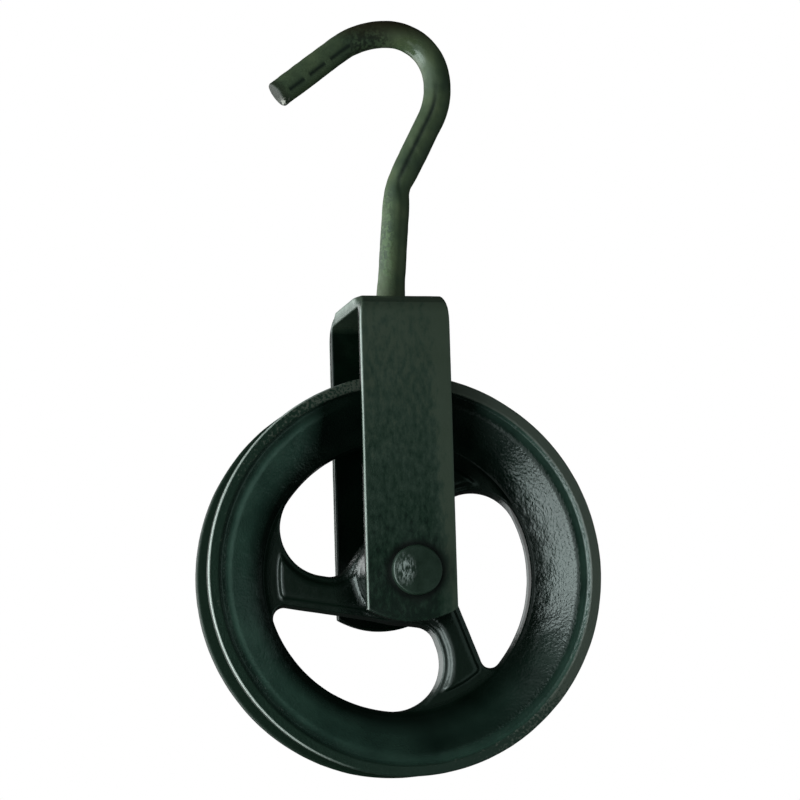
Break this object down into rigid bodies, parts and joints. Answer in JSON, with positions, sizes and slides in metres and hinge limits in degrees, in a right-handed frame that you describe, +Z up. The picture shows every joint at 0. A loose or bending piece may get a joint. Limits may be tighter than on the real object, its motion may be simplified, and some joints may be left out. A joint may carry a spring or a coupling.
{
  "type": "well pulley",
  "caption": "Well pulley: cast grooved wheel on a riveted axle in a bent flat-bar stirrup under a swivelling round-bar hook.",
  "frame": {"origin": "inside of the hook's crown, where the pulley hangs", "axes": "+Z points up, +X to the right of the open side of the hook, and +Y to the back along the wheel's axle"},
  "size_m": [0.2, 0.092, 0.3865],
  "materials": {
    "casting_paint": "glossy dark green oil paint over sand-cast iron",
    "bar_paint": "satin dark green oil paint over rolled flat bar",
    "hook_paint": "worn olive green oil paint over forged round bar",
    "rivet_paint": "scratched dark green oil paint over a forged rivet"
  },
  "bodies": {
    "hook": {"hook": "hook_paint", "hook_washer": "bar_paint"},
    "stirrup": {"stirrup_strap": "bar_paint", "axle_rivet": "rivet_paint", "rivet_washer": "bar_paint"},
    "wheel": {"pulley_wheel": "casting_paint"}
  },
  "joints": [
    {"name": "hook_swivel", "type": "hinge", "parent": "hook", "child": "stirrup", "pos_m": [-0.0025, 0, -0.1375], "axis": [0, 0, 1], "continuous": true},
    {"name": "wheel_spin", "type": "hinge", "parent": "stirrup", "child": "wheel", "pos_m": [-0.0025, 0, -0.2725], "axis": [0, 1, 0], "continuous": true}
  ]
}
